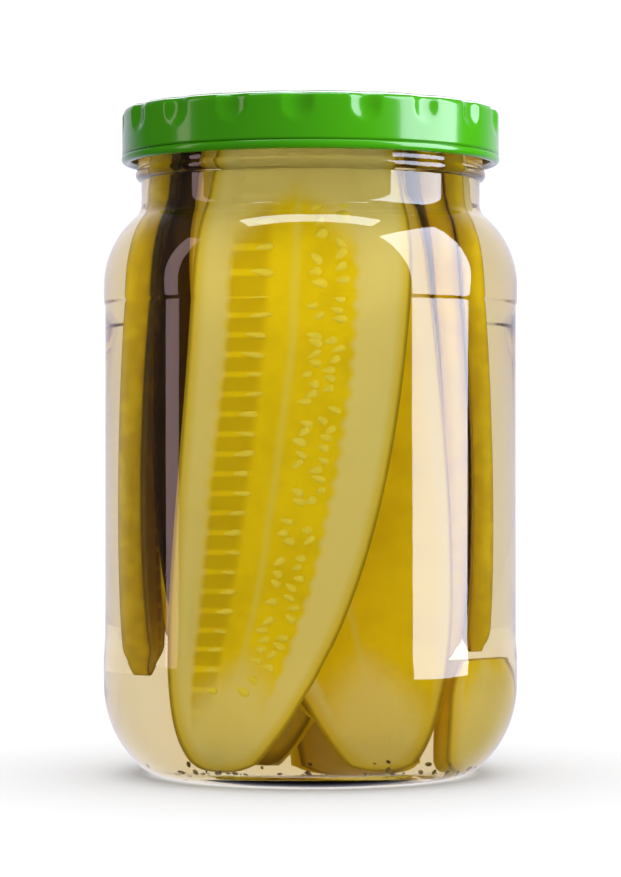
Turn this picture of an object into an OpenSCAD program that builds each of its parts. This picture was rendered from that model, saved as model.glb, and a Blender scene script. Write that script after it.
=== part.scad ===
// Twist-off glass jar of pickles, closed by a fluted steel lid.
// Frame: +Z up along the jar's axis, origin in the centre of the standing ring. Millimetres.

/* [Glass body] */
// Height of the glass, from the standing ring to the brim
jar_h = 148.7; // [135:0.1:180]
// Outer diameter of the heel and shoulder bands
body_d = 93; // [86:0.5:112]
// Thickness of the side wall
wall = 2.8; // [2:0.1:3.6]
// Thickness of the floor at its centre
floor_t = 3.4; // [2.4:0.1:4.6]
// Radius of the heel curve
heel_r = 24.5; // [20:0.5:30]
// Height at which the heel curve meets the straight side
heel_z = 20; // [17:0.5:24]
// Radius of the foot that blends the heel into the standing ring
foot_r = 8; // [4:0.5:10]
// Width of the flat standing ring
ring_w = 2; // [1:0.25:4]
// Rise of the hollow under the base
push_up = 1.8; // [1:0.1:3]
// Radius of the shoulder curve
shoulder_r = 20; // [15:0.5:24]
// Depth of the label panel below the two bands
panel_recess = 0.3; // [0.1:0.1:0.9]
// Height of the label panel's lower edge
panel_low_z = 30.6; // [30:0.2:36]
// Distance from the end of the shoulder curve down to the label panel
shoulder_band_h = 4.5; // [1.5:0.1:6]
// Height of the slope between the shoulder band and the panel
seam_h = 0.8; // [0.5:0.1:1.4]
// Height of the slope between the panel and the heel band
low_seam_h = 4.4; // [1:0.1:5.5]

/* [Neck and finish] */
// Outer diameter of the neck
neck_d = 76.2; // [66:0.2:80]
// Radius of the hollow between neck and shoulder
neck_fillet = 4; // [2.5:0.25:6]
// Height of the neck and finish above the hollow
finish_h = 20.9; // [18:0.1:25]
// How far the wall behind the lid stands out from the neck
finish_step = 0.8; // [0.4:0.1:1.4]
// How far the transfer bead stands out from the neck
bead_step = 1.3; // [0.9:0.1:1.8]
// Cross-section radius of the transfer bead
bead_r = 1.5; // [1.2:0.1:2]
// Distance from the brim down to the middle of the bead
bead_drop = 14.3; // [13.5:0.1:16]
// How far the thread lugs stand out from the wall behind the lid
thread_step = 1.2; // [0.8:0.1:1.5]
// Number of thread lugs, shared by the glass and the lid
lugs = 6; // [3:1:8]

/* [Lid] */
// Thickness of the lid's sheet
sheet = 0.5; // [0.3:0.05:0.7]
// Height of the lid
lid_h = 12.4; // [11:0.1:13]
// Clearance between the lid's flutes and the thread lugs
lid_gap = 0.9; // [0.5:0.1:1.5]
// Number of grip flutes
flutes = 18; // [12:1:28]
// Depth of each flute
flute_deep = 0.9; // [0.4:0.1:1.2]
// Height of each flute
flute_h = 6.6; // [4:0.1:7]
// Radius of the tool that presses a flute
flute_r = 6.5; // [5:0.5:14]
// Turn of the first flute about the jar's axis, from the X axis
flute_turn = 6.2; // [0:0.1:30]
// Depth of the centre panel below the lid's rim
lid_recess = 0.9; // [0.5:0.1:1.4]
// Radius of the safety button
button_r = 11; // [8:0.5:14]
// Rise of the safety button
button_rise = 0.5; // [0.2:0.1:0.8]

/* [Brine] */
// Distance from the brim down to the brine
headspace = 7.5; // [5.5:0.5:10]
// Clearance between the brine and the glass
brine_gap = 0.1; // [0.05:0.05:0.3]

/* [Hidden] */

$fn = 180;
glass_colour = [0.86, 0.91, 0.88, 0.35];
brine_colour = [0.80, 0.68, 0.20, 0.8];
lid_colour = [0.16, 0.55, 0.03];

body_r = body_d / 2;
neck_r = neck_d / 2;
finish_r = neck_r + finish_step;
thread_r = finish_r + thread_step;

// Centres of the curves that make the side: heel, shoulder and the hollow under the finish.
heel_c = [body_r - heel_r, heel_z];
hollow_c = [neck_r + neck_fillet, jar_h - finish_h];
shoulder_rise = sqrt(pow(shoulder_r + neck_fillet, 2) - pow(hollow_c[0] - (body_r - shoulder_r), 2));
shoulder_c = [body_r - shoulder_r, hollow_c[1] - shoulder_rise];
shoulder_angle = atan2(shoulder_rise, hollow_c[0] - shoulder_c[0]);
panel_high_z = shoulder_c[1] - shoulder_band_h;

// The foot's curve touches the standing plane and lies inside the heel's curve.
foot_c = [heel_c[0] + sqrt(pow(heel_r - foot_r, 2) - pow(foot_r - heel_z, 2)), foot_r];
foot_angle = atan2(foot_c[1] - heel_c[1], foot_c[0] - heel_c[0]);
ring_in_r = foot_c[0] - ring_w;

bead_c = [neck_r + bead_step - bead_r, jar_h - bead_drop];

// The inner floor is a shallow dome that a curve blends into the wall.
floor_fillet = 7;
floor_edge_z = floor_t + 0.2;
floor_top_z = push_up + floor_t;

brim_out_r = 1.2;
brim_in_r = 0.9;
thread_h = 2;
thread_z = jar_h - 5.4;
thread_span = 40;
arc_step = 6;
corner_step = 15;

lid_top_z = jar_h + sheet;
skirt_r = thread_r + lid_gap + sheet + flute_deep;
curl_step = 0.15;
curl_r = 1.1;
curl_c = [skirt_r + curl_step - curl_r, lid_top_z - lid_h + curl_r];
lid_corner = 1.8;
lid_step_w = 1.2;
lid_step_gap = 0.7;
lug_gap = 0.3;
lug_h = 2.2;
lug_span = 14;

// Points along an arc, from angle a to angle b, both ends included.
function arc(c, r, a, b, step = arc_step) =
    let (n = max(2, ceil(abs(b - a) / step)))
    [for (i = [0:n]) c + r * [cos(a + (b - a) * i / n), sin(a + (b - a) * i / n)]];

// Points of a shallow dome from its edge at radius r and height z in to the axis, rise above the edge.
function dome(r, z, rise) =
    let (big = (r * r + rise * rise) / (2 * rise), a = asin(r / big), n = 10)
    [for (i = [0:n]) [big * sin(a * (1 - i / n)), z + rise - big + big * cos(a * (1 - i / n))]];

function reversed(points) = [for (i = [len(points) - 1:-1:0]) points[i]];

// Outer side of the glass, from the axis under the base up to the brim.
function outside() = concat(
    reversed(dome(ring_in_r, 0, push_up)),
    arc(foot_c, foot_r, -90, foot_angle),
    arc(heel_c, heel_r, foot_angle, 0),
    [
        [body_r, panel_low_z - low_seam_h],
        [body_r - panel_recess, panel_low_z],
        [body_r - panel_recess, panel_high_z],
        [body_r, panel_high_z + seam_h]
    ],
    arc(shoulder_c, shoulder_r, 0, shoulder_angle),
    arc(hollow_c, neck_fillet, 180 + shoulder_angle, 180),
    arc(bead_c, bead_r, -acos((neck_r - bead_c[0]) / bead_r), acos((finish_r - bead_c[0]) / bead_r)),
    arc([finish_r - brim_out_r, jar_h - brim_out_r], brim_out_r, 0, 90)
);

// Inner side of the glass, moved in by gap, from the axis on the floor up to height top.
function inside(gap, top) =
    let (
        t = wall + gap,
        lift = floor_edge_z + gap,
        inner_heel_r = heel_r - t,
        drop = heel_z - lift - floor_fillet,
        c = [heel_c[0] + sqrt(pow(inner_heel_r - floor_fillet, 2) - drop * drop), lift + floor_fillet],
        a = atan2(-drop, c[0] - heel_c[0])
    )
    concat(
        reversed(dome(c[0], lift, floor_top_z - floor_edge_z)),
        arc(c, floor_fillet, -90, a),
        arc(heel_c, inner_heel_r, a, 0),
        arc(shoulder_c, shoulder_r - t, 0, shoulder_angle),
        arc(hollow_c, neck_fillet + t, 180 + shoulder_angle, 180),
        [[neck_r - t, top]]
    );

// Ring segment of rounded rectangular section, centred on angle a.
module ring_segment(r_in, r_out, z, h, span, a) {
    corner = min(h, r_out - r_in) / 3;
    rotate([0, 0, a - span / 2])
        rotate_extrude(angle = span)
            polygon(concat(
                [[r_in, z + h], [r_in, z]],
                arc([r_out - corner, z + corner], corner, -90, 0),
                arc([r_out - corner, z + h - corner], corner, 0, 90)
            ));
}

module jar() {
    brim_in = arc([neck_r - wall + brim_in_r, jar_h - brim_in_r], brim_in_r, 90, 180);
    bore = inside(0, jar_h - brim_in_r);
    color(glass_colour) {
        rotate_extrude() polygon(concat(outside(), brim_in, reversed(bore)));
        for (i = [0:lugs - 1])
            ring_segment(finish_r - 0.5, thread_r, thread_z, thread_h, thread_span, i * 360 / lugs);
    }
}

module brine() {
    level = jar_h - headspace;
    color(brine_colour)
        rotate_extrude() polygon(concat(inside(brine_gap, level), [[0, level]]));
}

// Solid of revolution under the lid's outer surface, moved in by gap.
module lid_blank(gap) {
    top = lid_top_z - gap;
    panel = top - lid_recess;
    step_r = neck_r - wall - lid_step_gap - lid_step_w + gap / 2;
    corner_c = [skirt_r - lid_corner, lid_top_z - lid_corner];
    low = lid_top_z - lid_h + curl_r - gap;
    rotate_extrude()
        polygon(concat(
            [[0, low], [skirt_r - gap, low]],
            arc(corner_c, lid_corner - gap, 0, 90, corner_step),
            [[step_r + lid_step_w, top], [step_r, panel]],
            dome(button_r, panel, button_rise)
        ));
}

// Row of round-nosed posts that press the flutes into the lid, grown by gap.
module flute_posts(gap) {
    nose = sqrt(2 * flute_r * flute_deep - flute_deep * flute_deep);
    nose_z = lid_top_z - flute_h + nose;
    for (i = [0:flutes - 1])
        rotate([0, 0, flute_turn + i * 360 / flutes])
            translate([skirt_r - flute_deep + flute_r, 0, nose_z]) {
                sphere(flute_r + gap);
                cylinder(r = flute_r + gap, h = flute_h);
            }
}

module lid() {
    lug_z = thread_z - lug_gap - lug_h;
    color(lid_colour) {
        difference() {
            lid_blank(0);
            flute_posts(0);
            difference() {
                lid_blank(sheet);
                flute_posts(sheet);
            }
        }
        translate([0, 0, curl_c[1]])
            rotate_extrude() translate([curl_c[0], 0]) circle(curl_r);
        for (i = [0:lugs - 1])
            ring_segment(finish_r + lug_gap, skirt_r - sheet / 2, lug_z, lug_h, lug_span, i * 360 / lugs);
    }
}

jar();
brine();
lid();
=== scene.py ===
"""A closed jar of sliced pickles: glass, brine, fluted lid and the slices sunk in the brine."""

from __future__ import annotations

import logging
import math
import random
from dataclasses import dataclass
from enum import Enum
from typing import Sequence, Union

import bmesh
import bpy
from mathutils import Matrix, Vector

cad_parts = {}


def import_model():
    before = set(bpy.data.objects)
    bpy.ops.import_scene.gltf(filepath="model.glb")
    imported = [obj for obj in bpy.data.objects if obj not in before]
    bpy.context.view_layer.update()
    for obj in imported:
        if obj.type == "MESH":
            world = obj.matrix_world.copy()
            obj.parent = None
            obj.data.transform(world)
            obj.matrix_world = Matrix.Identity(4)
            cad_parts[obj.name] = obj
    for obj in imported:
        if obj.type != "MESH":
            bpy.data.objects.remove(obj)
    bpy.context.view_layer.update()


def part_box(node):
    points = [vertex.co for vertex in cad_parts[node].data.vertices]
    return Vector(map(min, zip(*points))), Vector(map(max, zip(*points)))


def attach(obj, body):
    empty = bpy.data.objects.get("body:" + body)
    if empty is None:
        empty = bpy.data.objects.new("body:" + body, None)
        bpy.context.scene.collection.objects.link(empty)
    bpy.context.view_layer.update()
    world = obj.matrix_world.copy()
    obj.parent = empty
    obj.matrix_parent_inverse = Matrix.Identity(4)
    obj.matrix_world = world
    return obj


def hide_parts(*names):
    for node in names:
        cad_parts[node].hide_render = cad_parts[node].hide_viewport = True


LOG = logging.getLogger("pickle_jar")
MM = 0.001
FULL_TURN = 2 * math.pi
ON_AXIS = 1e-6  # an outline point nearer the axis than this, in millimetres, lies on it
POLE_R = 1e-8  # a vertex nearer the axis than this, in metres, is a pole
WELD = 1e-7  # poles nearer each other than this, in metres, become one
COMB_PITCH = 4.3  # height of one cavity in the comb of seeds, in millimetres
SEEDS_SET_IN = (18.0, 28.0)  # heights over which the cavities grow to their full depth, in millimetres
SEEDS_TOP = 122.0  # height below which the rows of seeds stay, in millimetres
Point = tuple[float, float]
Place = tuple[float, float, float]
Colour = tuple[float, float, float]
Value = Union["Socket", float]


# ---- small helpers


def smoothstep(low: float, high: float, x: float) -> float:
    """A soft step from 0 at low to 1 at high."""
    s = min(max((x - low) / (high - low), 0.0), 1.0)
    return s * s * (3 - 2 * s)


def arc(centre: Point, radius: float, start: float, end: float, step: float = 3.0) -> list[Point]:
    """Points along an arc.

    Args:
        centre: Centre of the arc.
        radius: Its radius.
        start: First angle, in degrees.
        end: Last angle, in degrees.
        step: Largest angle between two points, in degrees.

    Returns:
        The points, both ends included.
    """
    count = max(2, math.ceil(abs(end - start) / step))
    angles = (math.radians(start + (end - start) * i / count) for i in range(count + 1))
    return [(centre[0] + radius * math.cos(a), centre[1] + radius * math.sin(a)) for a in angles]


def dome(radius: float, height: float, rise: float, count: int = 14) -> list[Point]:
    """Points of a shallow dome, from its edge at that height in to the axis, rise above the edge."""
    big = (radius * radius + rise * rise) / (2 * rise)
    angle = math.asin(radius / big)
    turns = (angle * (1 - i / count) for i in range(count + 1))
    return [(big * math.sin(a), height + rise - big + big * math.cos(a)) for a in turns]


def finish_mesh(bm: bmesh.types.BMesh, name: str, smooth: bool = True) -> bpy.types.Object:
    """Turns a bmesh in metres into an object at the origin.

    Args:
        bm: The mesh, which is freed.
        name: The new object's name.
        smooth: Whether its faces shade smoothly.

    Returns:
        The new object, linked to the scene.
    """
    for face in bm.faces:
        face.smooth = smooth
    mesh = bpy.data.meshes.new(name)
    bm.to_mesh(mesh)
    bm.free()
    piece = bpy.data.objects.new(name, mesh)
    bpy.context.scene.collection.objects.link(piece)
    return piece


def revolve(outline: Sequence[Point], name: str, steps: int) -> bpy.types.Object:
    """Spins a closed outline of (radius, height) points, in millimetres, about the Z axis.

    Args:
        outline: The points, in order.
        name: The new object's name.
        steps: Number of steps in the full turn.

    Returns:
        A closed object whose normals point outwards.
    """
    bm = bmesh.new()
    verts = [bm.verts.new((r * MM, 0, z * MM)) for r, z in outline]
    edges = [bm.edges.new((a, b)) for a, b in zip(verts, verts[1:])]
    if outline[0][0] > ON_AXIS or outline[-1][0] > ON_AXIS:
        edges.append(bm.edges.new((verts[-1], verts[0])))
    bmesh.ops.spin(
        bm, geom=verts + edges, cent=(0, 0, 0), axis=(0, 0, 1), angle=FULL_TURN, steps=steps, use_merge=True
    )
    poles = [v for v in bm.verts if math.hypot(v.co.x, v.co.y) < POLE_R]
    bmesh.ops.remove_doubles(bm, verts=poles, dist=WELD)
    bmesh.ops.recalc_face_normals(bm, faces=bm.faces)
    return finish_mesh(bm, name)


# ---- shader maths


class Socket:
    """A node's output socket that Python's operators can work with."""

    def __init__(self, shader: "Shader", link: bpy.types.NodeSocket) -> None:
        """Keeps the socket and the shader that it belongs to."""
        self.shader = shader
        self.link = link

    def _math(self, operation: str, *values: Value) -> "Socket":
        """One Math node on these values."""
        return self.shader.node("ShaderNodeMath", {"operation": operation}, dict(enumerate(values)))

    def __add__(self, other: Value) -> "Socket":
        """Sum."""
        return self._math("ADD", self, other)

    __radd__ = __add__

    def __sub__(self, other: Value) -> "Socket":
        """Difference."""
        return self._math("SUBTRACT", self, other)

    def __rsub__(self, other: float) -> "Socket":
        """Difference, with the number first."""
        return self._math("SUBTRACT", other, self)

    def __mul__(self, other: Value) -> "Socket":
        """Product."""
        return self._math("MULTIPLY", self, other)

    __rmul__ = __mul__

    def __abs__(self) -> "Socket":
        """Absolute value."""
        return self._math("ABSOLUTE", self)

    def sine(self) -> "Socket":
        """Sine of this value."""
        return self._math("SINE", self)

    def at_most(self, other: Value) -> "Socket":
        """The smaller of the two."""
        return self._math("MINIMUM", self, other)

    def at_least(self, other: Value) -> "Socket":
        """The larger of the two."""
        return self._math("MAXIMUM", self, other)

    def step(self, low: float, high: float) -> "Socket":
        """A soft step from 0 at low to 1 at high, or the other way where low is the larger."""
        ends = (low, high, 0.0, 1.0) if low <= high else (high, low, 1.0, 0.0)
        settings = {"interpolation_type": "SMOOTHSTEP"}
        return self.shader.node("ShaderNodeMapRange", settings, dict(enumerate((self, *ends))))

    def bell(self, centre: float, width: float) -> "Socket":
        """A soft bump of height 1 at centre that reaches 0 at width to either side."""
        return abs(self - centre).step(width, 0.0)


class Shader:
    """A material or world under construction."""

    def __init__(self, owner: Union[bpy.types.Material, bpy.types.World]) -> None:
        """Empties the owner's node tree."""
        owner.use_nodes = True
        self.owner = owner
        self.tree = owner.node_tree
        self.tree.nodes.clear()

    def node(
        self,
        kind: str,
        settings: dict[str, object] | None = None,
        inputs: dict[Union[int, str], object] | None = None,
        output: Union[int, str] = 0,
    ) -> Socket:
        """Adds a node.

        Args:
            kind: The node's type.
            settings: Its settings, set first.
            inputs: Values or sockets, by input name or number.
            output: The output to hand back.

        Returns:
            That output, wrapped.
        """
        new = self.tree.nodes.new(kind)
        for key, setting in (settings or {}).items():
            setattr(new, key, setting)
        for key, given in (inputs or {}).items():
            if isinstance(given, Socket):
                self.tree.links.new(given.link, new.inputs[key])
            else:
                new.inputs[key].default_value = given
        return Socket(self, new.outputs[output])

    def place(self, scale: float = 1.0, stretch: Sequence[float] = (1, 1, 1)) -> Socket:
        """Object coordinates, scaled."""
        coords = self.node("ShaderNodeTexCoord", output="Object")
        size = tuple(scale * s for s in stretch)
        return self.node("ShaderNodeMapping", {}, {"Vector": coords, "Scale": size})

    def attribute(self, name: str) -> tuple[Socket, Socket, Socket]:
        """The three numbers of a mesh attribute."""
        vector = self.node("ShaderNodeAttribute", {"attribute_name": name}, output="Vector")
        parts = [self.node("ShaderNodeSeparateXYZ", {}, {0: vector}, output=i) for i in range(3)]
        return parts[0], parts[1], parts[2]

    def noise(self, vector: Socket, scale: float, detail: float = 3.0, roughness: float = 0.5) -> Socket:
        """Fractal noise between 0 and 1."""
        return self.node(
            "ShaderNodeTexNoise",
            {},
            {"Vector": vector, "Scale": scale, "Detail": detail, "Roughness": roughness},
            output="Fac",
        )

    def mix(self, mask: Value, low: Union[Socket, Colour], high: Union[Socket, Colour]) -> Socket:
        """A colour between low, where mask is 0, and high, where it is 1."""
        ends = [c if isinstance(c, Socket) else (*c, 1.0) for c in (low, high)]
        settings = {"data_type": "RGBA", "clamp_factor": True}
        return self.node("ShaderNodeMix", settings, {0: mask, 6: ends[0], 7: ends[1]}, output=2)

    def bump(self, height: Socket, distance: float, strength: float = 1.0) -> Socket:
        """A normal from a height between 0 and 1, distance deep in metres."""
        return self.node("ShaderNodeBump", {}, {"Height": height, "Distance": distance, "Strength": strength})

    def surface(self, volume: Socket | None = None, **inputs: object) -> None:
        """Ends the material in a Principled shader.

        Args:
            volume: A volume shader, if the piece has one.
            **inputs: The Principled shader's inputs, with spaces as underscores.
        """
        named = {}
        for key, value in inputs.items():
            named[key.replace("_", " ")] = (*value, 1.0) if isinstance(value, tuple) else value
        shader = self.node("ShaderNodeBsdfPrincipled", {}, named)
        ends = {"Surface": shader}
        if volume is not None:
            ends["Volume"] = volume
        output = self.tree.nodes.new("ShaderNodeOutputMaterial")
        for key, socket in ends.items():
            self.tree.links.new(socket.link, output.inputs[key])


def new_shader(name: str) -> Shader:
    """A shader on a new material of that name."""
    return Shader(bpy.data.materials.new(name))


# ---- finishes


@dataclass(frozen=True)
class GlassFinish:
    """Clear bottle glass with the faint ripple of a blown mould."""

    ior: float = 1.5
    tint: Colour = (0.985, 0.995, 0.99)
    ripple: float = 0.00004
    ripple_scale: float = 60.0
    ripple_stretch: Place = (1.0, 1.0, 0.35)

    def material(self, name: str, shine: float) -> bpy.types.Material:
        """Builds the material.

        Args:
            name: The material's name.
            shine: How much of its head-on reflection the side keeps: 1 in air, 0 where brine wets it.

        Returns:
            The material.
        """
        shader = new_shader(name)
        wave = shader.noise(shader.place(self.ripple_scale, self.ripple_stretch), 1.0, 2.0)
        shader.surface(
            Base_Color=self.tint,
            Roughness=0.0,
            IOR=self.ior,
            Transmission_Weight=1.0,
            Specular_Tint=(shine, shine, shine),
            Normal=shader.bump(wave, self.ripple),
        )
        return shader.owner


@dataclass(frozen=True)
class BrineFinish:
    """Pale yellow brine."""

    ior: float = 1.335
    colour: Colour = (0.78, 0.58, 0.12)
    density: float = 16.0
    clear: Colour = (1.0, 1.0, 0.99)
    hazy: Colour = (0.995, 0.99, 0.97)
    haze_scale: float = 40.0

    def material(self) -> bpy.types.Material:
        """Builds the material."""
        shader = new_shader("brine")
        haze = shader.noise(shader.place(self.haze_scale), 1.0, 2.0)
        volume = shader.node(
            "ShaderNodeVolumeAbsorption", {}, {"Color": (*self.colour, 1.0), "Density": self.density}
        )
        shader.surface(
            volume,
            Base_Color=shader.mix(haze, self.hazy, self.clear),
            Roughness=0.0,
            IOR=self.ior,
            Transmission_Weight=1.0,
            Specular_Tint=(0.0, 0.0, 0.0),
        )
        return shader.owner


@dataclass(frozen=True)
class LacquerFinish:
    """Gloss lacquer over sheet steel: green outside, off-white inside."""

    green: Colour = (0.018, 0.112, 0.0005)
    deep_green: Colour = (0.014, 0.096, 0.0005)
    lining: Colour = (0.62, 0.62, 0.64)
    roughness: float = 0.13
    uneven: float = 0.05
    ior: float = 1.4
    coat: float = 0.15
    coat_roughness: float = 0.05
    cloud_scale: float = 35.0
    peel_scale: float = 900.0
    peel_deep: float = 0.00001

    def material(self) -> bpy.types.Material:
        """Builds the material; the attribute lining is 1 on the sheet's inner side."""
        shader = new_shader("lid_lacquer")
        inner, _, _ = shader.attribute("lining")
        place = shader.place()
        cloud = shader.noise(place, self.cloud_scale)
        orange_peel = shader.noise(place, self.peel_scale, 2.0)
        green = shader.mix(cloud, self.deep_green, self.green)
        shader.surface(
            Base_Color=shader.mix(inner, green, self.lining),
            Roughness=self.roughness + self.uneven * cloud,
            IOR=self.ior,
            Coat_Weight=self.coat,
            Coat_Roughness=self.coat_roughness,
            Normal=shader.bump(orange_peel, self.peel_deep),
        )
        return shader.owner


@dataclass(frozen=True)
class SliceFinish:
    """A pickle slice: pale flesh, a deeper seed zone with its cavities, and an olive skin at the edge, paler
    on its warts and with a painted sheen along the middle of the side.
    """

    flesh: Colour = (0.89, 0.76, 0.23)
    flesh_edge: Colour = (0.80, 0.60, 0.03)
    zone: Colour = (0.92, 0.71, 0.006)
    zone_dark: Colour = (0.58, 0.40, 0.004)
    core_line: Colour = (0.86, 0.72, 0.10)
    skin: Colour = (0.62, 0.40, 0.002)
    # skin colour on the warts, and of the painted sheen along the middle of the rounded side
    skin_light: Colour = (0.86, 0.62, 0.004)
    rim_line: Colour = (0.37, 0.235, 0.002)
    zone_from: float = 20.0
    zone_top: Point = (134.0, 123.0)
    zone_left: Point = (-0.72, -0.62)
    zone_right: Point = (0.54, 0.44)
    plain_right: Point = (0.95, 0.80)
    comb_left: Point = (-0.70, -0.62)
    comb_right: Point = (-0.26, -0.38)
    wander: float = 0.16
    scallop: float = 0.018
    ior: float = 1.03
    grain_deep: float = 0.00025

    def material(self, name: str, seed_rows: bool) -> bpy.types.Material:
        """Builds the material.

        Args:
            name: The material's name.
            seed_rows: Whether the cut face shows the comb of seed cavities.

        Returns:
            The material. It reads the attribute slice, which is the place across (-1 to 1), through (-1 to 1)
            and up (mm), and the attribute rim, which is the distance to the outline (mm).
        """
        shader = new_shader(name)
        across, through, up = shader.attribute("slice")
        rim, _, _ = shader.attribute("rim")
        place = shader.place()
        mottle = shader.noise(place, 90, 4.0, 0.6)
        fibre = shader.noise(shader.place(1, (1, 1, 0.12)), 420, 3.0)
        wander = (shader.noise(place, 28, 2.0) - 0.5) * self.wander
        side = across + wander
        scallop = (up * (FULL_TURN / COMB_PITCH)).sine() * self.scallop
        left = (side + scallop * 0.6).step(*self.zone_left)
        right = (side + scallop).step(*self.zone_right) if seed_rows else side.step(*self.plain_right)
        low_end = (up + abs(side) * 14.0).step(self.zone_from, self.zone_from + 12.0)
        high_end = (up + abs(side + 0.1) * 22.0).step(*self.zone_top)
        zone = left * right * low_end * high_end
        flesh = shader.mix(rim.step(3.6, 0.6) * 0.9, self.flesh, self.flesh_edge)
        flesh = shader.mix((mottle - 0.45).at_least(0.0) * 0.5, flesh, self.flesh_edge)
        pulp = shader.mix(mottle.step(0.35, 0.75) * 0.35, self.zone, self.zone_dark)
        if seed_rows:
            comb = across.step(*self.comb_left) * across.step(*self.comb_right)
            stripe = ((up + wander * 5.0) * (FULL_TURN / COMB_PITCH)).sine().step(-0.95, -0.35)
            pulp = shader.mix(comb * stripe * 0.6, pulp, self.zone_dark)
        line = (side + 0.07).bell(0.0, 0.07) * 0.6
        pulp = shader.mix(line, pulp, self.core_line)
        cut = shader.mix(zone, flesh, pulp)
        cut = shader.mix(rim.step(1.1, 0.2) * 0.9, cut, self.rim_line)
        wall = abs(through).step(0.97, 0.90) * abs(across).step(0.90, 0.97)
        warts = shader.noise(place, 260, 3.0)
        # the skin is paler on its warts, and a painted sheen runs along the middle of the rounded side wall
        lit = warts.step(0.35, 0.7) * 0.6 + 0.4 * abs(through).step(0.95, 0.6)
        skin = shader.mix(lit, self.skin, self.skin_light)
        shader.surface(
            Base_Color=shader.mix(wall, cut, skin),
            Roughness=0.42 - 0.12 * mottle,
            IOR=self.ior,
            Normal=shader.bump(0.6 * fibre + 0.4 * warts, self.grain_deep, 0.6),
        )
        return shader.owner


@dataclass(frozen=True)
class SeedFinish:
    """Pale, slightly translucent pickle seeds."""

    pale: Colour = (0.95, 0.84, 0.12)
    deep: Colour = (0.88, 0.72, 0.03)

    def material(self) -> bpy.types.Material:
        """Builds the material."""
        shader = new_shader("pickle_seed")
        cloud = shader.noise(shader.place(), 300, 2.0)
        shader.surface(
            Base_Color=shader.mix(cloud, self.deep, self.pale),
            Roughness=0.3 + 0.1 * cloud,
            IOR=1.03,
        )
        return shader.owner


@dataclass(frozen=True)
class SpiceFinish:
    """Brown spice seeds and crumbs."""

    brown: Colour = (0.15, 0.075, 0.012)
    tan: Colour = (0.38, 0.24, 0.05)

    def material(self) -> bpy.types.Material:
        """Builds the material."""
        shader = new_shader("spice")
        cloud = shader.noise(shader.place(), 500, 2.0)
        shader.surface(
            Base_Color=shader.mix(cloud.step(0.35, 0.65), self.brown, self.tan),
            Roughness=0.5 + 0.2 * cloud,
            IOR=1.05,
        )
        return shader.owner


@dataclass(frozen=True)
class FloorFinish:
    """A white surface that glows under the jar and hardly around it, so that the shadow shows."""

    white: Colour = (0.605, 0.62, 0.655)
    pale: Colour = (0.61, 0.625, 0.66)
    glow: float = 0.03
    glow_under: float = 1.0
    under_r: float = 0.037
    fade_out: float = 0.002
    fade_in: float = 0.006

    def material(self) -> bpy.types.Material:
        """Builds the material."""
        shader = new_shader("floor")
        grain = shader.noise(shader.place(), 8, 2.0)
        place = shader.node("ShaderNodeTexCoord", output="Object")
        radius = shader.node("ShaderNodeVectorMath", {"operation": "LENGTH"}, {0: place}, output="Value")
        under = radius.step(self.under_r + self.fade_out, self.under_r - self.fade_in)
        shader.surface(
            Base_Color=shader.mix(grain, self.white, self.pale),
            Roughness=0.9,
            Emission_Color=shader.mix(under, (self.glow,) * 3, (self.glow_under,) * 3),
            Emission_Strength=1.0,
        )
        return shader.owner


# ---- glass and brine


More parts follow.
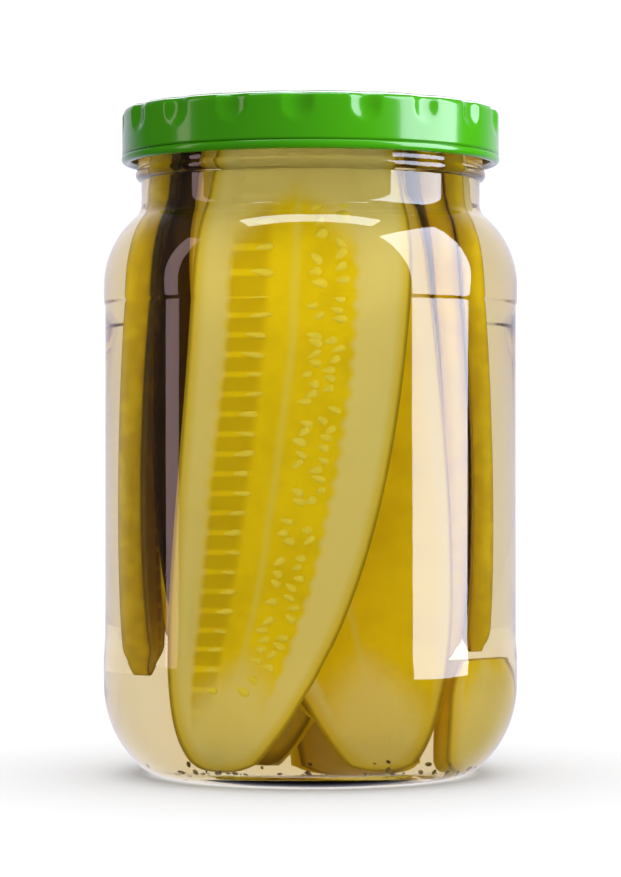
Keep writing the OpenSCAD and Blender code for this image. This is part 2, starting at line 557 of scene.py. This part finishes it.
@dataclass
class JarShape:
    """Sizes of the glass in millimetres; height and body radius come from the frame."""

    height: float
    body_r: float
    wall: float = 2.8
    floor_t: float = 3.4
    heel_r: float = 24.5
    heel_z: float = 20.0
    foot_r: float = 8.0
    ring_w: float = 2.0
    push_up: float = 1.8
    shoulder_r: float = 20.0
    panel_recess: float = 0.3
    panel_low_z: float = 30.6
    shoulder_band_h: float = 4.5
    seam_h: float = 0.8
    low_seam_h: float = 4.4
    neck_r: float = 38.1
    neck_fillet: float = 4.0
    finish_h: float = 20.9
    finish_step: float = 0.8
    bead_step: float = 1.3
    bead_r: float = 1.5
    bead_drop: float = 14.3
    floor_fillet: float = 7.0
    brim_out_r: float = 1.2
    brim_in_r: float = 0.9
    support: float = 0.2

    def __post_init__(self) -> None:
        """Works out the centres of the curves."""
        self.finish_r = self.neck_r + self.finish_step
        self.heel_c = (self.body_r - self.heel_r, self.heel_z)
        self.hollow_c = (self.neck_r + self.neck_fillet, self.height - self.finish_h)
        run = self.hollow_c[0] - (self.body_r - self.shoulder_r)
        rise = math.sqrt((self.shoulder_r + self.neck_fillet) ** 2 - run * run)
        self.shoulder_c = (self.body_r - self.shoulder_r, self.hollow_c[1] - rise)
        self.shoulder_angle = math.degrees(math.atan2(rise, run))
        self.panel_high_z = self.shoulder_c[1] - self.shoulder_band_h
        reach = math.sqrt((self.heel_r - self.foot_r) ** 2 - (self.foot_r - self.heel_z) ** 2)
        self.foot_c = (self.heel_c[0] + reach, self.foot_r)
        self.foot_angle = math.degrees(math.atan2(self.foot_r - self.heel_z, reach))
        self.ring_in_r = self.foot_c[0] - self.ring_w
        self.bead_c = (self.neck_r + self.bead_step - self.bead_r, self.height - self.bead_drop)

    def seam(self, low_z: float, tall: float, from_r: float, to_r: float) -> list[Point]:
        """A straight slope from one radius to another over a height, with small rounded corners."""
        corner = self.support
        lean = (to_r - from_r) / tall * corner
        return [
            (from_r, low_z - corner),
            (from_r + lean, low_z + corner),
            (to_r - lean, low_z + tall - corner),
            (to_r, low_z + tall + corner),
        ]

    def outside(self) -> list[Point]:
        """Outer side of the glass, from the axis under the base up to the brim."""
        panel_r = self.body_r - self.panel_recess
        low = math.degrees(math.acos((self.neck_r - self.bead_c[0]) / self.bead_r))
        high = math.degrees(math.acos((self.finish_r - self.bead_c[0]) / self.bead_r))
        brim_c = (self.finish_r - self.brim_out_r, self.height - self.brim_out_r)
        return [
            *reversed(dome(self.ring_in_r, 0.0, self.push_up)),
            *arc(self.foot_c, self.foot_r, -90, self.foot_angle),
            *arc(self.heel_c, self.heel_r, self.foot_angle, 0, 2)[1:],
            *self.seam(self.panel_low_z - self.low_seam_h, self.low_seam_h, self.body_r, panel_r),
            *self.seam(self.panel_high_z, self.seam_h, panel_r, self.body_r),
            *arc(self.shoulder_c, self.shoulder_r, 0, self.shoulder_angle, 2),
            *arc(self.hollow_c, self.neck_fillet, 180 + self.shoulder_angle, 180, 4)[1:],
            (self.neck_r, self.bead_c[1] - self.bead_r * math.sin(math.radians(low)) - self.support),
            *arc(self.bead_c, self.bead_r, -low, high, 10),
            (self.finish_r, self.bead_c[1] + self.bead_r * math.sin(math.radians(high)) + self.support),
            *arc(brim_c, self.brim_out_r, 0, 90, 10),
        ]

    def inside(self, gap: float, top: float) -> list[Point]:
        """Inner side of the glass, moved in by gap, from the axis on the floor up to height top."""
        t = self.wall + gap
        lift = self.floor_t + 0.2 + gap
        inner_r = self.heel_r - t
        drop = self.heel_z - lift - self.floor_fillet
        reach = math.sqrt((inner_r - self.floor_fillet) ** 2 - drop * drop)
        c = (self.heel_c[0] + reach, lift + self.floor_fillet)
        a = math.degrees(math.atan2(-drop, reach))
        return [
            *reversed(dome(c[0], lift, self.push_up - 0.2)),
            *arc(c, self.floor_fillet, -90, a)[1:],
            *arc(self.heel_c, inner_r, a, 0, 2)[1:],
            *arc(self.shoulder_c, self.shoulder_r - t, 0, self.shoulder_angle, 2),
            *arc(self.hollow_c, self.neck_fillet + t, 180 + self.shoulder_angle, 180, 4)[1:],
            (self.neck_r - t, top),
        ]

    def inner_radius(self, z: float) -> float:
        """Radius of the hollow at height z, in millimetres."""
        points = self.inside(0.0, self.height)
        for (r0, z0), (r1, z1) in zip(points, points[1:]):
            if z0 <= z <= z1 and z1 > z0:
                return r0 + (r1 - r0) * (z - z0) / (z1 - z0)
        return points[-1][0]


@dataclass
class GlassJar:
    """The glass body, wet on its inner side up to the brine."""

    shape: JarShape
    wet_to: float
    steps: int = 192
    floor_below: float = 12.0
    bore_reach: float = 0.5

    def build(self, finish: GlassFinish) -> bpy.types.Object:
        """Builds the glass and dresses it.

        Args:
            finish: The glass finish.

        Returns:
            The glass piece, which stands for the CAD jar.
        """
        s = self.shape
        brim_in_c = (s.neck_r - s.wall + s.brim_in_r, s.height - s.brim_in_r)
        brim_in = arc(brim_in_c, s.brim_in_r, 90, 180, 10)
        bore = list(reversed(s.inside(0.0, s.height - s.brim_in_r)))
        glass = revolve(s.outside() + brim_in[1:] + bore[1:], "glass", self.steps)
        glass.data.materials.append(finish.material("clear_glass", 1.0))
        glass.data.materials.append(finish.material("clear_glass_wet", 0.0))
        for face in glass.data.polygons:
            x, y, z = (c / MM for c in face.center)
            radius = math.hypot(x, y)
            faces_in = x * face.normal.x + y * face.normal.y < 0
            on_wall = faces_in and z > s.floor_t + s.push_up
            on_floor = face.normal.z > 0.5 and z < self.floor_below
            in_bore = (on_wall or on_floor) and radius < s.inner_radius(z) + self.bore_reach
            face.material_index = 1 if in_bore and z < self.wet_to else 0
        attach(glass, "root")
        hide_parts("jar")
        return glass


@dataclass
class Brine:
    """The liquid, which reaches just into the glass wall."""

    shape: JarShape
    level: float
    bite: float = 0.25
    steps: int = 160

    def build(self, finish: BrineFinish) -> bpy.types.Object:
        """Builds the liquid and dresses it.

        Args:
            finish: The brine finish.

        Returns:
            The brine piece, which stands for the CAD brine.
        """
        side = self.shape.inside(-self.bite, self.level)
        brine = revolve(side + [(0.0, self.level)], "brine_liquid", self.steps)
        brine.data.materials.append(finish.material())
        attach(brine, "root")
        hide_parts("brine")
        return brine


# ---- lid


@dataclass
class Lid:
    """The fluted twist-off lid; its top and outer radius come from the frame."""

    top: float
    skirt_r: float
    height: float = 12.4
    sheet: float = 0.5
    corner: float = 1.8
    flutes: int = 18
    flute_deep: float = 0.9
    flute_h: float = 6.6
    flute_half: float = 3.7
    flute_turn: float = 6.2
    curl_r: float = 1.1
    curl_step: float = 0.15
    recess: float = 0.9
    step_out_r: float = 34.6
    step_in_r: float = 33.2
    button_r: float = 11.0
    button_rise: float = 0.5
    steps: int = 540
    ring_step: float = 0.5
    flute_soft: float = 1.4

    def outline(self) -> list[Point]:
        """Half section of the sheet, from the axis on top, round the curl and back under the top."""
        top, r, t = self.top, self.skirt_r, self.sheet
        panel = top - self.recess
        corner_c = (r - self.corner, top - self.corner)
        curl_c = (r + self.curl_step - self.curl_r, top - self.height + self.curl_r)
        rings = int((self.height - self.corner - 2) / self.ring_step)
        skirt = [(r, top - self.corner - self.ring_step * i) for i in range(1, rings + 1)]
        inner_skirt = [(x - t, z) for x, z in reversed(skirt)]
        return [
            *reversed(dome(self.button_r, panel, self.button_rise)),
            *[(self.button_r + (self.step_in_r - self.button_r) * i / 6, panel) for i in range(1, 7)],
            *[
                (
                    self.step_in_r + (self.step_out_r - self.step_in_r) * i / 6,
                    panel + self.recess * smoothstep(0, 1, i / 6),
                )
                for i in range(1, 7)
            ],
            *[(self.step_out_r + (corner_c[0] - self.step_out_r) * i / 6, top) for i in range(1, 6)],
            *arc(corner_c, self.corner, 90, 0, 7.5),
            *skirt,
            *arc(curl_c, self.curl_r, 70, -240, 15),
            *inner_skirt,
            *arc(corner_c, self.corner - t, 0, 90, 15),
            *[(self.step_out_r + (corner_c[0] - self.step_out_r) * i / 6, top - t) for i in range(5, 0, -1)],
            (self.step_out_r, top - t),
            (self.step_in_r, panel - t),
            *dome(self.button_r, panel - t, self.button_rise),
        ]

    def press(self, x: float, y: float, z: float) -> float:
        """How far the flutes press the sheet in at a place, in millimetres."""
        pitch = FULL_TURN / self.flutes
        angle = ((math.atan2(y, x) - math.radians(self.flute_turn)) / pitch + 0.5) % 1.0 - 0.5
        radius = math.hypot(x, y)
        along = abs(angle) * pitch * self.skirt_r / self.flute_half
        down = self.top - z
        nose = max(0.0, (down - (self.flute_h - self.flute_half)) / self.flute_half)
        reach = math.hypot(along, nose)
        rim = smoothstep(self.step_out_r + 2.0, self.skirt_r - self.corner, radius)
        return self.flute_deep * rim * max(0.0, 1 - reach * reach) ** self.flute_soft

    def build(self, finish: LacquerFinish) -> bpy.types.Object:
        """Spins the sheet, presses the flutes in and dresses the lid.

        Args:
            finish: The lacquer.

        Returns:
            The lid piece, which stands for the CAD lid.
        """
        lid = revolve(self.outline(), "lid_shell", self.steps)
        lining = lid.data.attributes.new("lining", "FLOAT_VECTOR", "POINT")
        inner_r = self.skirt_r - self.sheet / 2
        for vert, mark in zip(lid.data.vertices, lining.data):
            x, y, z = (c / MM for c in vert.co)
            radius = math.hypot(x, y)
            depth = self.press(x, y, z)
            if radius > ON_AXIS and depth > 0:
                vert.co *= 1 - depth / radius
                vert.co.z = z * MM
            above_curl = z > self.top - self.height + 0.5
            under = radius < inner_r - 0.4 and above_curl and self._under_sheet(radius, z)
            mark.vector = (1.0 if under else 0.0, 0.0, 0.0)
        lid.data.materials.append(finish.material())
        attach(lid, "root")
        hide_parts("lid")
        return lid

    def _under_sheet(self, radius: float, z: float) -> bool:
        """Whether a place on the section is on the sheet's inner side."""
        panel = self.top - self.recess
        if radius < self.step_in_r:
            rise = self.button_rise if radius < self.button_r else 0.0
            return z < panel - self.sheet / 2 + rise * (1 - (radius / self.button_r) ** 2 if rise else 0)
        if radius < self.step_out_r:
            share = (radius - self.step_in_r) / (self.step_out_r - self.step_in_r)
            return z < panel + self.recess * share - self.sheet / 2
        return z < self.top - self.sheet / 2 - 0.1


# ---- pickle slices


class Cut(Enum):
    """What a slice shows: seeds and core, flesh alone, or near-black all over, as painted shade for a dark
    gap between slices.
    """

    SEEDED = "seeded"
    PLAIN = "plain"
    # a piece coloured near-black all over: painted shade in the gap between slices
    RIND = "rind"


@dataclass
class PickleSlice:
    """A lengthwise slice of a pickled cucumber, in millimetres.

    The spine runs up the middle of the face that looks out of the jar, from bottom over a control point to
    top, and the thickness grows inwards. The outline would close at outline_end, past the trimmed top.
    """

    name: str
    bottom: Place
    control: Place
    top: Place
    half_width: float
    yaw: tuple[float, float]
    thickness: float = 6.0
    roundness: float = 2.2
    widest: float = 0.66
    outline_end: float = 1.06
    trim: float = 0.955
    bulge: float = 1.0
    taper: float = 0.0
    cut: Cut = Cut.SEEDED
    across_parts: int = 36
    up_parts: int = 110
    through_parts: int = 4
    zone_deep: float = 0.35
    cavity_deep: float = 0.5
    seed_deep: float = 0.4
    seed: int = 1

    def spine(self, s: float) -> Vector:
        """Point on the spine, s from 0 at the bottom to 1 at the top."""
        p0, p1, p2 = Vector(self.bottom), Vector(self.control), Vector(self.top)
        return p0 * (1 - s) ** 2 + p1 * 2 * s * (1 - s) + p2 * s * s

    def frame_at(self, s: float) -> tuple[Vector, Vector]:
        """Directions across the slice and into it, at s on the spine."""
        yaw = math.radians(self.yaw[0] + (self.yaw[1] - self.yaw[0]) * s)
        return Vector((math.cos(yaw), math.sin(yaw), 0)), Vector((-math.sin(yaw), math.cos(yaw), 0))

    def span_at(self, s: float) -> float:
        """Length on the spine from the widest place to the outline's end, on the side where s is."""
        return self.widest if s < self.widest else self.outline_end - self.widest

    def width_at(self, s: float) -> float:
        """Half the slice's width at s on the spine."""
        reach = min(abs(s - self.widest) / self.span_at(s), 1.0)
        return self.half_width * (1 - reach**self.roundness) ** (1 / self.roundness)

    def to_edge(self, across: float, s: float) -> float:
        """Distance from a place on the face to its outline, in millimetres."""
        tall = (self.top[2] - self.bottom[2]) * self.span_at(s)
        wide = self.half_width
        x = abs(across) * self.width_at(s) / wide
        z = min(abs(s - self.widest) / self.span_at(s), 1.0)
        n = self.roundness
        reach = max((x**n + z**n) ** (1 / n), 1e-3)
        slope = math.hypot((x / reach) ** (n - 1) / wide, (z / reach) ** (n - 1) / tall)
        return max(0.0, 1 - reach) / slope

    def point(self, across: float, through: float, s: float) -> Vector:
        """A place in the slice, in metres.

        Args:
            across: From -1 at the left edge to 1 at the right edge.
            through: From -1 on the outward face to 1 on the inward face.
            s: From 0 at the bottom to 1 at the top.

        Returns:
            The place in the jar.
        """
        side, into = self.frame_at(s)
        width = self.width_at(s)
        swell = self.bulge * (1 - through * through) * abs(across) ** 8 - self.taper * (through + 1) / 2
        reach = across * (width + swell * min(1.0, width / 6))
        pinch = 0.5 + 0.5 * smoothstep(0.0, 0.05, s)
        depth = (through * pinch + 1) / 2 * self.thickness + self.relief(across, s) * (through < 0)
        return (self.spine(s) + side * reach + into * depth) * MM

    def relief(self, across: float, s: float) -> float:
        """How deep the seed cavities and the core sink into the outward face."""
        if self.cut is not Cut.SEEDED:
            return 0.0
        up = self.spine(s).z
        ends = smoothstep(*SEEDS_SET_IN, up)
        comb = smoothstep(-0.74, -0.66, across) * (1 - smoothstep(-0.30, -0.24, across))
        teeth = 0.5 + 0.5 * math.sin(FULL_TURN * up / COMB_PITCH)
        zone = smoothstep(-0.72, -0.64, across) * (1 - smoothstep(0.46, 0.54, across))
        return ends * (self.zone_deep * zone + self.cavity_deep * comb * teeth)

    def build(self, finish: bpy.types.Material) -> bpy.types.Object:
        """Builds the slice from a divided block.

        Args:
            finish: The slice's material.

        Returns:
            The slice piece.
        """
        bm = bmesh.new()
        bmesh.ops.create_cube(bm, size=2.0)
        for axis, parts in ((0, self.across_parts), (1, self.through_parts), (2, self.up_parts)):
            lanes = [e for e in bm.edges if abs(abs((e.verts[0].co - e.verts[1].co)[axis]) - 2.0) < 1e-6]
            bmesh.ops.subdivide_edges(bm, edges=lanes, cuts=parts - 1, use_grid_fill=True)
        layer = bm.verts.layers.float_vector.new("slice")
        rim = bm.verts.layers.float_vector.new("rim")
        for vert in bm.verts:
            across, through = vert.co.x, vert.co.y
            s = self.trim * (0.5 - 0.5 * math.cos(math.pi * self._ease((vert.co.z + 1) / 2)))
            vert.co = self.point(across, through, s)
            vert[layer] = (across, through, vert.co.z / MM)
            vert[rim] = (self.to_edge(across, s), 0.0, 0.0)
        bmesh.ops.remove_doubles(bm, verts=bm.verts, dist=1e-5)
        bmesh.ops.dissolve_degenerate(bm, edges=bm.edges, dist=1e-6)
        bmesh.ops.recalc_face_normals(bm, faces=bm.faces)
        piece = finish_mesh(bm, self.name)
        piece.data.set_sharp_from_angle(angle=math.radians(50))
        piece.data.materials.append(finish)
        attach(piece, "root")
        return piece

    @staticmethod
    def _ease(v: float) -> float:
        """Spaces the rings closely at the round bottom and evenly further up."""
        return v * 0.55 + (math.acos(1 - 2 * v) / math.pi) * 0.45

    def add_seeds(self, bm: bmesh.types.BMesh) -> None:
        """Adds this slice's seeds to a shared bmesh.

        Args:
            bm: The bmesh, in metres.
        """
        if self.cut is not Cut.SEEDED:
            return
        rng = random.Random(self.seed)
        row = math.ceil((self.bottom[2] + 16) / COMB_PITCH)
        while row * COMB_PITCH < SEEDS_TOP:
            up = (row - 0.25) * COMB_PITCH
            s = self._height_to_s(up)
            length = rng.uniform(1.7, 2.6) * self.width_at(s) / 24
            self._seed(bm, rng, -0.38 + rng.uniform(-0.03, 0.03), s, (length, rng.uniform(0.5, 0.75)), 0.16)
            for across, drop in ((0.12, 0.0), (0.34, 0.9), (0.14, 2.3), (0.33, 3.1)):
                if rng.random() < 0.8:
                    s = self._height_to_s(up + drop + rng.uniform(-0.4, 0.4))
                    size = (rng.uniform(1.1, 1.6), rng.uniform(0.7, 0.95))
                    self._seed(bm, rng, across + rng.uniform(-0.05, 0.05), s, size, 0.7)
            row += 1

    def _height_to_s(self, up: float) -> float:
        """The place on the spine at a height, by halving."""
        low, high = 0.0, 1.0
        for _ in range(30):
            middle = (low + high) / 2
            low, high = (middle, high) if self.spine(middle).z < up else (low, middle)
        return low

    def _seed(
        self, bm: bmesh.types.BMesh, rng: random.Random, across: float, s: float, size: Point, tilt: float
    ) -> None:
        """Adds one seed: a flattened drop that lies in the cut face."""
        centre = self.point(across, -1.0, s)
        side, into = self.frame_at(s)
        rise = Vector((0, 0, 1))
        turn = rng.uniform(-tilt, tilt)
        long_axis = (side * math.cos(turn) + rise * math.sin(turn)) * size[0] * MM
        short_axis = (rise * math.cos(turn) - side * math.sin(turn)) * size[1] * MM
        place = Matrix((short_axis, into * self.seed_deep * MM, long_axis)).transposed().to_4x4()
        place.translation = centre
        drop = seed_drop().copy()
        drop.transform(place)
        bm.from_mesh(drop)
        bpy.data.meshes.remove(drop)


def seed_drop() -> bpy.types.Mesh:
    """A drop of unit size, pointed at its low end, made once and kept for copying."""
    name = "seed_drop"
    if name not in bpy.data.meshes:
        bm = bmesh.new()
        bmesh.ops.create_uvsphere(bm, u_segments=10, v_segments=6, radius=1.0)
        for vert in bm.verts:
            taper = 1.0 + 0.4 * vert.co.z
            vert.co.x *= taper
            vert.co.y *= taper
        bm.to_mesh(bpy.data.meshes.new(name))
        bm.free()
    return bpy.data.meshes[name]


# ---- spices


@dataclass
class Spices:
    """Small seeds and crumbs that settled on the jar's floor."""

    shape: JarShape
    count: int = 120
    far_r: float = 39.5
    near_share: float = 0.4
    seed: int = 7

    def build(self, finish: SpiceFinish) -> bpy.types.Object:
        """Scatters the crumbs on the floor of the jar.

        Args:
            finish: The spice finish.

        Returns:
            One piece with all of them.
        """
        rng = random.Random(self.seed)
        bm = bmesh.new()
        for _ in range(self.count):
            size = rng.uniform(0.25, 0.75)
            radius = self.far_r * math.sqrt(rng.uniform(self.near_share, 1.0))
            angle = rng.uniform(0, FULL_TURN)
            slope = self._floor_at(radius + 0.5) - self._floor_at(radius - 0.5)
            z = self._floor_at(radius) + (size * 1.1 + 0.1) * math.hypot(1.0, slope)
            turn_by = rng.uniform(0, 3.0)
            turn_about = Vector((rng.random(), rng.random(), rng.random() + 0.1))
            turn = Matrix.Rotation(turn_by, 4, turn_about)
            place = Matrix.Translation(Vector((radius * math.cos(angle), radius * math.sin(angle), z)) * MM)
            stretch = Matrix.Diagonal((size * 1.5 * MM, size * MM, size * 0.8 * MM, 1.0))
            bmesh.ops.create_icosphere(bm, subdivisions=1, radius=1.0, matrix=place @ turn @ stretch)
        piece = finish_mesh(bm, "spice_crumbs")
        piece.data.materials.append(finish.material())
        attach(piece, "root")
        return piece

    def _floor_at(self, radius: float) -> float:
        """Height of the inner floor at a radius."""
        points = self.shape.inside(0.0, self.shape.height)
        for (r0, z0), (r1, z1) in zip(points, points[1:]):
            if r0 <= radius <= r1:
                return z0 + (z1 - z0) * (radius - r0) / (r1 - r0)
        return self.shape.floor_t


# ---- studio


@dataclass
class Softbox:
    """An area light, in metres."""

    name: str
    place: Place
    aim: Place
    size: Point
    power: float
    colour: Colour = (1.0, 1.0, 1.0)
    in_reflections: bool = True

    def build(self, lit: bpy.types.Collection) -> None:
        """Adds the light, which shines on the pieces in a collection."""
        data = bpy.data.lights.new(self.name, "AREA")
        data.shape = "RECTANGLE"
        data.size, data.size_y = self.size
        data.energy = self.power
        data.color = self.colour
        lamp = bpy.data.objects.new(self.name, data)
        lamp.location = self.place
        lamp.rotation_euler = (Vector(self.aim) - Vector(self.place)).to_track_quat("-Z", "Y").to_euler()
        lamp.visible_camera = False
        lamp.visible_transmission = False
        lamp.visible_glossy = self.in_reflections
        lamp.light_linking.receiver_collection = lit
        bpy.context.scene.collection.objects.link(lamp)


@dataclass
class Studio:
    """Camera, lights, sky and floor."""

    distance: float = 0.722
    eye_height: float = 0.0726
    lens: float = 131.4
    tilt: float = 0.206
    backdrop: Colour = (1.03, 1.03, 1.03)
    room: Colour = (2.1, 2.05, 1.95)
    far_side: Colour = (0.74, 0.71, 0.83)
    dim_side: Colour = (0.03, 0.03, 0.033)
    bright_side: Colour = (0.85, 0.84, 1.0)
    floor_radius: float = 0.3
    floor_drop: float = 0.00005

    def camera(self) -> None:
        """Adds the camera and makes it the scene's own."""
        data = bpy.data.cameras.new("camera")
        data.lens = self.lens
        data.sensor_width = 36.0
        data.clip_start = 0.01
        camera = bpy.data.objects.new("camera", data)
        camera.location = (0.0, -self.distance, self.eye_height)
        camera.rotation_euler = (math.radians(90 + self.tilt), 0, 0)
        bpy.context.scene.collection.objects.link(camera)
        bpy.context.scene.camera = camera

    def sky_light(self) -> None:
        """A white surround: plain behind the jar, lavender where the glass bends a ray aside.

        It is stronger where it lights a surface, and dim in glossy reflections.
        """
        world = bpy.data.worlds.new("studio")
        bpy.context.scene.world = world
        shader = Shader(world)
        glossy = shader.node("ShaderNodeLightPath", output="Is Glossy Ray")
        glossy = glossy * shader.node("ShaderNodeLightPath", output="Is Reflection Ray")
        lighting = shader.node("ShaderNodeLightPath", output="Diffuse Depth").at_most(1.0)
        direction = shader.node("ShaderNodeTexCoord", output="Generated")
        away = shader.node("ShaderNodeSeparateXYZ", {}, {0: direction}, 1)
        reflected = shader.mix(away.step(0.45, 0.95), self.dim_side, self.bright_side)
        direct = shader.node("ShaderNodeLightPath", output="Is Camera Ray")
        ahead = direct.at_least(abs(away).step(0.40, 0.80))
        surround = shader.mix(ahead, self.far_side, self.backdrop)
        seen = shader.mix(glossy, surround, reflected)
        background = shader.node("ShaderNodeBackground", {}, {"Color": shader.mix(lighting, seen, self.room)})
        output = shader.tree.nodes.new("ShaderNodeOutputWorld")
        shader.tree.links.new(background.link, output.inputs["Surface"])

    def floor(self, finish: FloorFinish) -> None:
        """Adds the floor, a large disc just under the jar."""
        bm = bmesh.new()
        bmesh.ops.create_circle(bm, cap_ends=True, segments=96, radius=self.floor_radius)
        for vert in bm.verts:
            vert.co.z = -self.floor_drop
        floor = finish_mesh(bm, "floor", smooth=False)
        floor.data.materials.append(finish.material())
        floor.visible_glossy = False

    def lights(self, pieces: Sequence[bpy.types.Object]) -> None:
        """Adds the softboxes: a tall one at the right, a weak strip at the left, one overhead and a fill.

        Args:
            pieces: What they shine on; the floor has only the sky's light, so that its shadows are soft.
        """
        lit = bpy.data.collections.new("lit_pieces")
        for piece in pieces:
            lit.objects.link(piece)
        boxes = [
            Softbox("window", (0.337, -0.099, 0.217), (0, 0, 0.1), (0.28, 0.457), 4.7, (0.80, 0.85, 1.0)),
            Softbox("strip", (-0.39, -0.08, 0.2), (0, 0, 0.09), (0.07, 0.4), 0.25, (1.0, 0.7, 0.75)),
            Softbox("overhead", (0.0, -0.15, 0.80), (0, -0.15, 0), (0.66, 0.16), 3.0, (0.8, 0.9, 1.0)),
            Softbox("side_fill", (0.35, -0.25, 0.20), (0, 0, 0.14), (0.2, 0.3), 3.0, in_reflections=False),
        ]
        for box in boxes:
            box.build(lit)

    def render_settings(self) -> None:
        """Light paths long enough for glass in glass, and a plain view transform."""
        scene = bpy.context.scene
        scene.cycles.max_bounces = 24
        scene.cycles.transmission_bounces = 18
        scene.cycles.diffuse_bounces = 5
        scene.cycles.glossy_bounces = 6
        scene.cycles.sample_clamp_indirect = 4.0
        scene.view_settings.view_transform = "Standard"
        scene.view_settings.look = "None"


# ---- the whole


def slices() -> list[PickleSlice]:
    """The slices as they stand in the jar: the front ones, those behind, then the ones at the sides."""
    plain, rind = Cut.PLAIN, Cut.RIND
    return [
        PickleSlice(
            "slice_front", (-17.8, -20, 5.2), (0.4, -42, 75), (-0.8, -23, 146), 22.5, (-22, -3),
            roundness=2.35, bulge=0.3, taper=3.0,
        ),
        PickleSlice(
            "slice_second", (13.4, -11.2, 6.4), (1.4, -29.6, 75), (-3, -13.5, 146), 23.3, (12, 0),
            roundness=2.25, bulge=0.3, taper=2.0, cut=plain,
        ),
        PickleSlice("slice_third", (4, -3, 14), (-1, -14.5, 75), (0, -5, 146), 16.5, (4, -2), cut=plain),
        PickleSlice("slice_middle", (8, 7, 12), (1, 1, 75), (0, 4, 146), 14.5, (0, 3), cut=plain),
        PickleSlice(
            "slice_back_inner", (-7, 17, 11), (-1, 26, 75), (-2, 15, 146), 19.0, (182, 180), cut=plain
        ),
        PickleSlice("slice_back", (6.5, 23.5, 4.8), (0, 42, 75), (0, 23, 146), 18.5, (186, 178), seed=3),
        PickleSlice(
            "slice_left", (-31.4, 3, 22), (-35.6, 3.5, 82), (-26.8, 2, 144), 12.0, (-116, -112), seed=4
        ),
        PickleSlice(
            "slice_left_inner", (-23.4, 1.0, 27), (-26.1, 1.0, 84), (-18.4, 0.5, 144), 10.8, (-115, -105),
            cut=plain,
        ),
        # a narrow piece in near-black browns: painted shade for the dark gap between the left slice and the
        # front slice
        PickleSlice(
            "slice_left_deep", (-23, -15, 30), (-26.5, -16, 84), (-19, -14, 144), 5.5, (-8, -8), 5.0, cut=rind
        ),
        PickleSlice(
            "slice_right", (31.5, -2, 27), (35.0, -2.5, 82), (26.5, -1, 144), 12.0, (111, 105), 5.0, seed=5
        ),
        PickleSlice(
            "slice_right_inner", (25.2, -1, 25.5), (28.9, -2, 82), (21.0, 0, 144), 11.5, (110, 105), 5.0,
            cut=plain,
        ),
        PickleSlice(
            "slice_end", (29, -1, 4.8), (32.5, -1, 15), (30.5, -1, 26), 8.5, (42, 42), 5.0,
            widest=0.5, cut=plain,
        ),
    ]


def main() -> None:
    """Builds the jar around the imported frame."""
    logging.basicConfig(level=logging.INFO, format="%(message)s")
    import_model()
    jar_low, jar_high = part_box("jar")
    _, brine_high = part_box("brine")
    _, lid_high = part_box("lid")
    shape = JarShape(height=jar_high[2] / MM, body_r=(jar_high[0] - jar_low[0]) / 2 / MM)

    studio = Studio()
    studio.camera()
    studio.sky_light()
    studio.floor(FloorFinish())
    studio.render_settings()

    level = brine_high[2] / MM
    made = [
        GlassJar(shape, level).build(GlassFinish()),
        Brine(shape, level).build(BrineFinish()),
        Lid(top=lid_high[2] / MM, skirt_r=lid_high[0] / MM - Lid.curl_step).build(LacquerFinish()),
    ]

    finish = SliceFinish()
    # near-black browns for the piece that paints the shade in the gap between the slices
    brown, tan = (0.024, 0.010, 0.0003), (0.055, 0.027, 0.0005)
    rind = SliceFinish(tan, brown, tan, brown, core_line=tan, skin=brown, skin_light=tan, rim_line=brown)
    cut_faces = {
        Cut.SEEDED: finish.material("pickle_cut", seed_rows=True),
        Cut.PLAIN: finish.material("pickle_plain", seed_rows=False),
        Cut.RIND: rind.material("pickle_painted_shade", seed_rows=False),
    }
    seed_mesh = bmesh.new()
    for piece in slices():
        made.append(piece.build(cut_faces[piece.cut]))
        piece.add_seeds(seed_mesh)
    seeds = finish_mesh(seed_mesh, "pickle_seeds")
    seeds.data.materials.append(SeedFinish().material())
    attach(seeds, "root")
    made.append(seeds)
    made.append(Spices(shape).build(SpiceFinish()))

    studio.lights(made)
    for piece in made:
        LOG.info("%s: %d faces", piece.name, len(piece.data.polygons))


if __name__ == "__main__":
    main()
